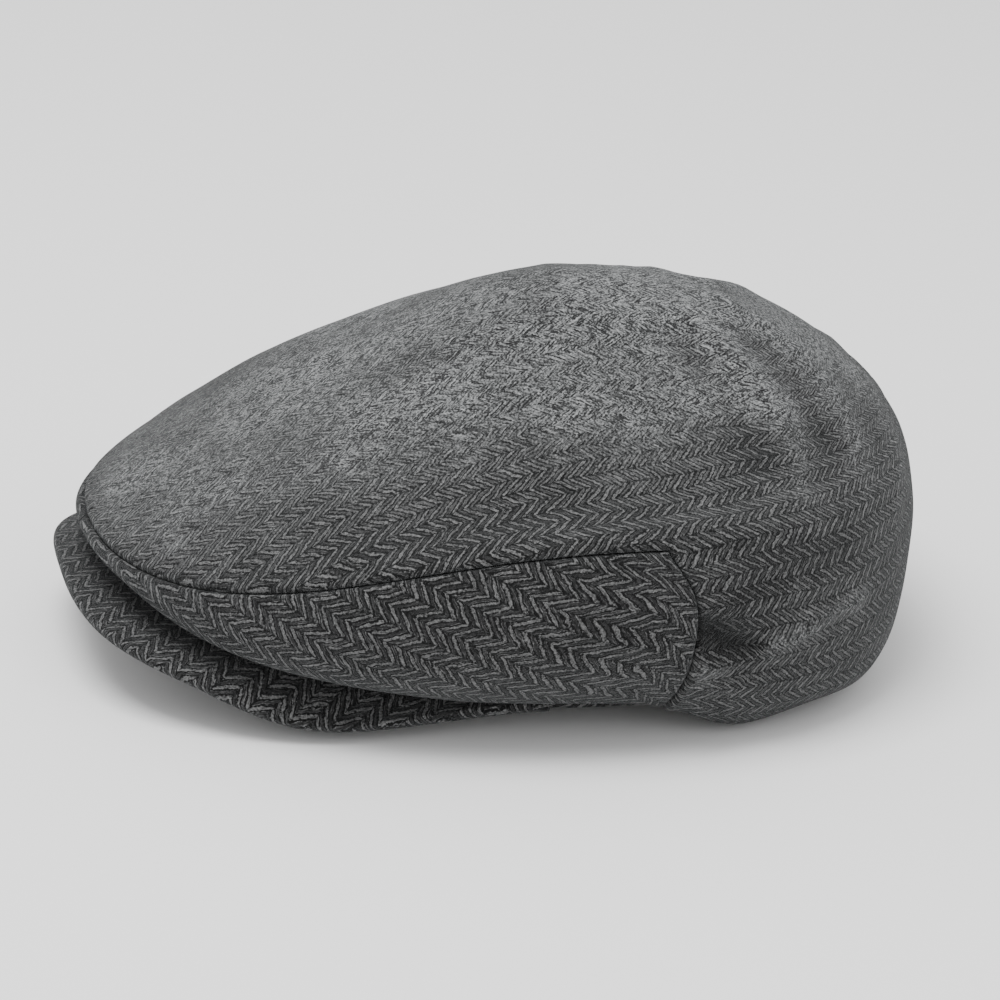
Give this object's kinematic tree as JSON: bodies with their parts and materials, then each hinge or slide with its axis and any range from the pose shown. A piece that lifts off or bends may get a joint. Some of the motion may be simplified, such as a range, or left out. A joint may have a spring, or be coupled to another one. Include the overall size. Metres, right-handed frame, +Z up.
{
  "type": "flat cap",
  "caption": "Flat cap in grey herringbone wool with a one-piece crown, side panels, a stiff covered visor, a lining and a sweatband.",
  "frame": {"origin": "on the surface the cap rests on, below the middle of its box", "axes": "the visor points to -Y, the wearer's left is +X, +Z is up"},
  "size_m": [0.2268, 0.279, 0.1225],
  "materials": {
    "herringbone_wool": "two-tone grey herringbone wool with a soft nap",
    "visor_board": "matt board",
    "sewing_thread": "matt thread",
    "interlining": "plain woven canvas",
    "elastic": "ribbed elastic",
    "sweatband_twill": "fine cotton twill",
    "lining_satin": "satin sheen",
    "label_cloth": "woven satin label, blank"
  },
  "bodies": {
    "root": {"crown_panel": "herringbone_wool", "side_panel_left": "herringbone_wool", "side_panel_right": "herringbone_wool", "headband": "herringbone_wool", "visor_top_cover": "herringbone_wool", "visor_under_cover": "herringbone_wool", "visor_board": "visor_board", "visor_tack": "sewing_thread", "crown_interlining": "interlining", "side_interlining_left": "interlining", "side_interlining_right": "interlining", "headband_canvas": "interlining", "elastic_tape": "elastic", "sweatband": "sweatband_twill", "sweatband_join_patch": "sweatband_twill", "lining_top": "lining_satin", "lining_side_left": "lining_satin", "lining_side_right": "lining_satin", "lining_label": "label_cloth"}
  },
  "joints": []
}
